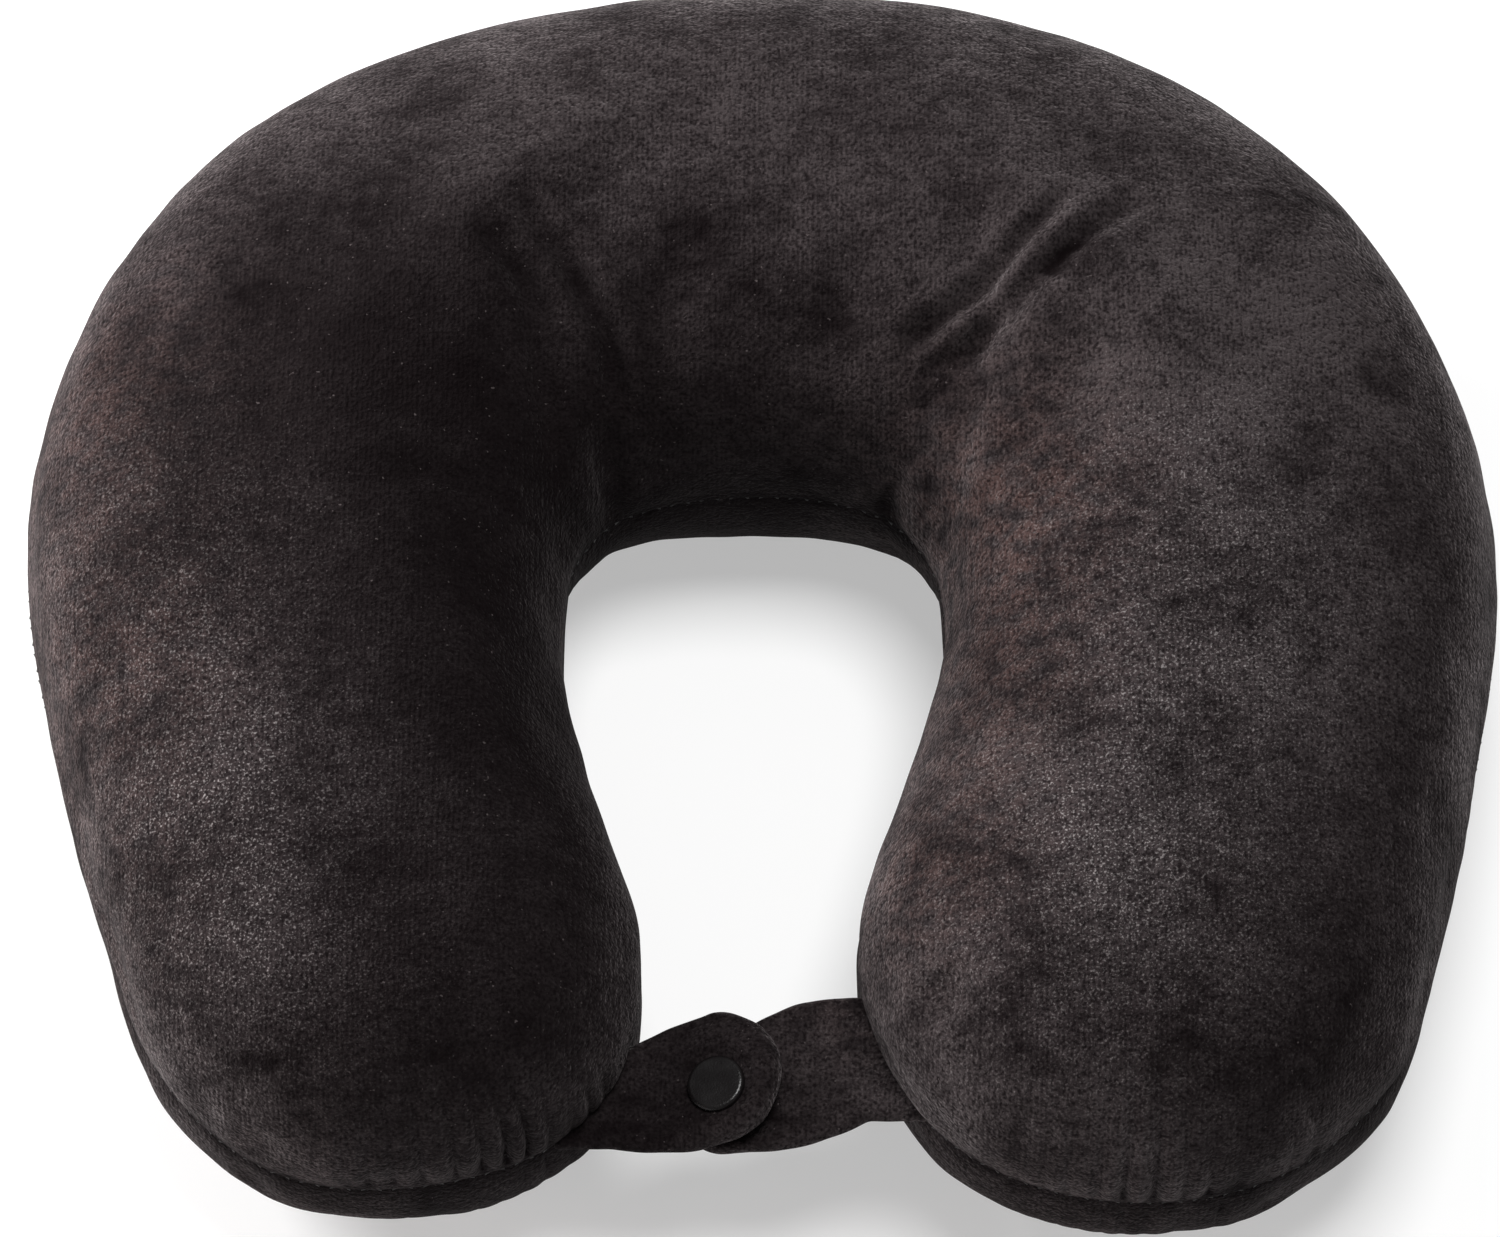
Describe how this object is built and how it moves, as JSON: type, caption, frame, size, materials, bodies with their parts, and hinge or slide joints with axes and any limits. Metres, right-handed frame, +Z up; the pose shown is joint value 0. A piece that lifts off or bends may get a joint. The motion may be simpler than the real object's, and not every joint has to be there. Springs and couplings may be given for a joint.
{
  "type": "neck pillow",
  "caption": "U-shaped travel neck pillow with a soft pile fabric cover, fibre filling and a short strap of lapped tabs with a press snap between its arms.",
  "frame": {"origin": "on the plane the pillow rests on, under the middle of its outline", "axes": "+X across the pillow to the right arm, +Y to the padded back (the opening faces -Y), +Z up through its thickness"},
  "size_m": [0.32, 0.291, 0.098],
  "materials": {
    "cover_velour": "short-pile velour knit, near black, soft sheen",
    "thread": "black polyester sewing thread",
    "filling": "white polyester fibre fill",
    "interlining": "stiff non-woven interlining",
    "snap": "black moulded plastic, satin"
  },
  "bodies": {
    "right_side": {"top_panel": "cover_velour", "bottom_panel": "cover_velour", "seam_thread": "thread", "closing_thread": "thread", "fill_right": "filling", "right_tab_root": "cover_velour"},
    "left_side": {"fill_left": "filling", "left_tab_root": "cover_velour"},
    "left_tab": {"left_tab_face": "cover_velour", "left_tab_back": "cover_velour", "left_tab_interlining": "interlining", "left_tab_thread": "thread", "left_snap_cap": "snap", "left_snap_socket": "snap"},
    "right_tab": {"right_tab_face": "cover_velour", "right_tab_back": "cover_velour", "right_tab_interlining": "interlining", "right_tab_thread": "thread", "right_snap_cap": "snap", "right_snap_stud": "snap"}
  },
  "joints": [
    {"name": "side_spread", "type": "hinge", "parent": "right_side", "child": "left_side", "pos_m": [0, 0.105, 0.049], "axis": [0, 0, -1], "range_deg": [0, 25], "deforming": ["top_panel", "bottom_panel", "seam_thread"]},
    {"name": "left_tab_fold", "type": "hinge", "parent": "left_side", "child": "left_tab", "pos_m": [-0.022, -0.115, 0.049], "axis": [0, -1, 0], "range_deg": [0, 75]},
    {"name": "right_tab_fold", "type": "hinge", "parent": "right_side", "child": "right_tab", "pos_m": [0.018, -0.115, 0.049], "axis": [0, -1, 0], "range_deg": [0, 70]}
  ]
}
